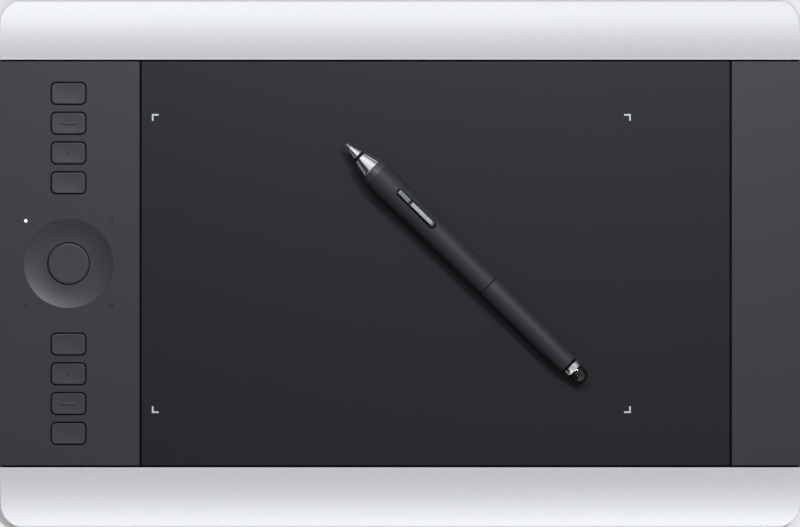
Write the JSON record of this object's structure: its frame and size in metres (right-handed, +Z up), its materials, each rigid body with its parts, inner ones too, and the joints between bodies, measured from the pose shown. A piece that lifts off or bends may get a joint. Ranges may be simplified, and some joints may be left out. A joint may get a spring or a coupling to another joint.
{
  "type": "pen drawing tablet",
  "caption": "Flat pen tablet with silver crowned rails, dark deck, textured drawing surface, press keys, dished touch ring and a cordless pen lying on the surface.",
  "frame": {"origin": "middle of the footprint, on the plane that the feet stand on", "axes": "+X along the long side, away from the keys; +Y to the far edge; +Z up out of the drawing surface"},
  "size_m": [0.38, 0.251, 0.026],
  "materials": {
    "silver_paint": "satin silver paint on moulded plastic",
    "dark_panel": "fine matt texture",
    "dark_key": "fine matt texture",
    "dark_ring": "smooth matt",
    "black_case": "fine grain",
    "drawing_sheet": "paper-like tooth",
    "clear_plate": "plain sheet",
    "circuit_board": "solder mask",
    "chip": "moulded epoxy",
    "steel": "plain",
    "dome_metal": "pressed sheet",
    "rubber": "matt",
    "grip_rubber": "matt, soft",
    "light_on": "lit light pipe",
    "light_off": "smoked light pipe",
    "marker_white": "white light guide",
    "battery_wrap": "foil pouch",
    "ribbon": "polyimide film",
    "pen_plastic": "satin",
    "pen_collar_grey": "satin",
    "pen_switch_grey": "satin",
    "pen_metal": "satin turned",
    "nib_plastic": "hard polymer",
    "eraser_gloss": "polished",
    "ferrite": "sintered",
    "copper": "enamelled wire"
  },
  "bodies": {
    "tablet": {"battery": "battery_wrap", "bottom_cover": "black_case", "case_screws": "steel", "control_panel": "dark_panel", "corner_lights": "marker_white", "digitizer_board": "circuit_board", "end_panel": "dark_panel", "feet": "rubber", "front_rail": "silver_paint", "inner_screws": "steel", "key_board": "circuit_board", "key_domes": "dome_metal", "key_ribbon": "ribbon", "main_board": "circuit_board", "main_board_chips": "chip", "mid_frame": "black_case", "power_ribbon": "ribbon", "power_switch": "chip", "rear_rail": "silver_paint", "ring_sensor": "ribbon", "sensor_ribbon": "ribbon", "shield_plate": "steel", "status_leds": "chip", "status_light_lit": "light_on", "status_lights": "light_off", "surface_plate": "clear_plate", "surface_sheet": "drawing_sheet", "touch_film": "clear_plate", "touch_ring": "dark_ring", "usb_socket": "steel", "usb_tongue": "chip", "wireless_module": "chip"},
    "pen": {"pen_barrel": "pen_plastic", "pen_board": "circuit_board", "pen_chassis": "pen_plastic", "pen_coil": "copper", "pen_collar": "pen_collar_grey", "pen_eraser_coil": "copper", "pen_ferrite": "ferrite", "pen_grip": "grip_rubber", "pen_nose_cone": "pen_metal", "pen_nose_front": "pen_metal", "pen_sensor": "chip", "pen_switch_domes": "dome_metal", "pen_tail_ring": "pen_metal"},
    "ring_button": {"ring_button": "dark_key"},
    "power_button": {"power_button": "dark_key"},
    "battery_door": {"battery_door": "black_case"},
    "wireless_door": {"wireless_door": "black_case"},
    "pen_nib": {"pen_nib": "nib_plastic"},
    "pen_switch": {"pen_switch": "pen_switch_grey"},
    "pen_eraser": {"pen_eraser": "eraser_gloss"},
    "key_1": {"key_1": "dark_key"},
    "key_2": {"key_2": "dark_key"},
    "key_3": {"key_3": "dark_key"},
    "key_4": {"key_4": "dark_key"},
    "key_5": {"key_5": "dark_key"},
    "key_6": {"key_6": "dark_key"},
    "key_7": {"key_7": "dark_key"},
    "key_8": {"key_8": "dark_key"}
  },
  "joints": [
    {"name": "key_1_press", "type": "slide", "parent": "tablet", "child": "key_1", "axis": [0, 0, -1], "range_m": [0, 0.0004], "stiffness_N_per_m": 1500, "springref_m": -0.0003},
    {"name": "key_2_press", "type": "slide", "parent": "tablet", "child": "key_2", "axis": [0, 0, -1], "range_m": [0, 0.0004], "stiffness_N_per_m": 1500, "springref_m": -0.0003},
    {"name": "key_3_press", "type": "slide", "parent": "tablet", "child": "key_3", "axis": [0, 0, -1], "range_m": [0, 0.0004], "stiffness_N_per_m": 1500, "springref_m": -0.0003},
    {"name": "key_4_press", "type": "slide", "parent": "tablet", "child": "key_4", "axis": [0, 0, -1], "range_m": [0, 0.0004], "stiffness_N_per_m": 1500, "springref_m": -0.0003},
    {"name": "key_5_press", "type": "slide", "parent": "tablet", "child": "key_5", "axis": [0, 0, -1], "range_m": [0, 0.0004], "stiffness_N_per_m": 1500, "springref_m": -0.0003},
    {"name": "key_6_press", "type": "slide", "parent": "tablet", "child": "key_6", "axis": [0, 0, -1], "range_m": [0, 0.0004], "stiffness_N_per_m": 1500, "springref_m": -0.0003},
    {"name": "key_7_press", "type": "slide", "parent": "tablet", "child": "key_7", "axis": [0, 0, -1], "range_m": [0, 0.0004], "stiffness_N_per_m": 1500, "springref_m": -0.0003},
    {"name": "key_8_press", "type": "slide", "parent": "tablet", "child": "key_8", "axis": [0, 0, -1], "range_m": [0, 0.0004], "stiffness_N_per_m": 1500, "springref_m": -0.0003},
    {"name": "ring_button_press", "type": "slide", "parent": "tablet", "child": "ring_button", "axis": [0, 0, -1], "range_m": [0, 0.0004], "stiffness_N_per_m": 1500, "springref_m": -0.0003},
    {"name": "power_button_press", "type": "slide", "parent": "tablet", "child": "power_button", "axis": [1, 0, 0], "range_m": [0, 0.0003], "stiffness_N_per_m": 2000, "springref_m": -0.0002},
    {"name": "battery_door_slide", "type": "slide", "parent": "tablet", "child": "battery_door", "axis": [1, 0, 0], "range_m": [0, 0.06]},
    {"name": "wireless_door_slide", "type": "slide", "parent": "tablet", "child": "wireless_door", "axis": [1, 0, 0], "range_m": [0, 0.045]},
    {"name": "pen_lift", "type": "slide", "parent": "tablet", "child": "pen", "axis": [0, 0, 1], "range_m": [0, 0.08]},
    {"name": "pen_nib_press", "type": "slide", "parent": "pen", "child": "pen_nib", "axis": [0.7107, -0.7033, -0.014], "range_m": [0, 0.0003], "stiffness_N_per_m": 5000, "springref_m": -0.0001},
    {"name": "pen_eraser_press", "type": "slide", "parent": "pen", "child": "pen_eraser", "axis": [-0.7107, 0.7033, 0.014], "range_m": [0, 0.0004], "stiffness_N_per_m": 4000, "springref_m": -0.0001},
    {"name": "pen_switch_rock", "type": "hinge", "parent": "pen", "child": "pen_switch", "pos_m": [0.00536, 0.0272, 0.02247], "axis": [-0.6831, -0.6948, 0.2249], "range_deg": [-2, 2], "stiffness_Nm_per_rad": 0.15}
  ]
}
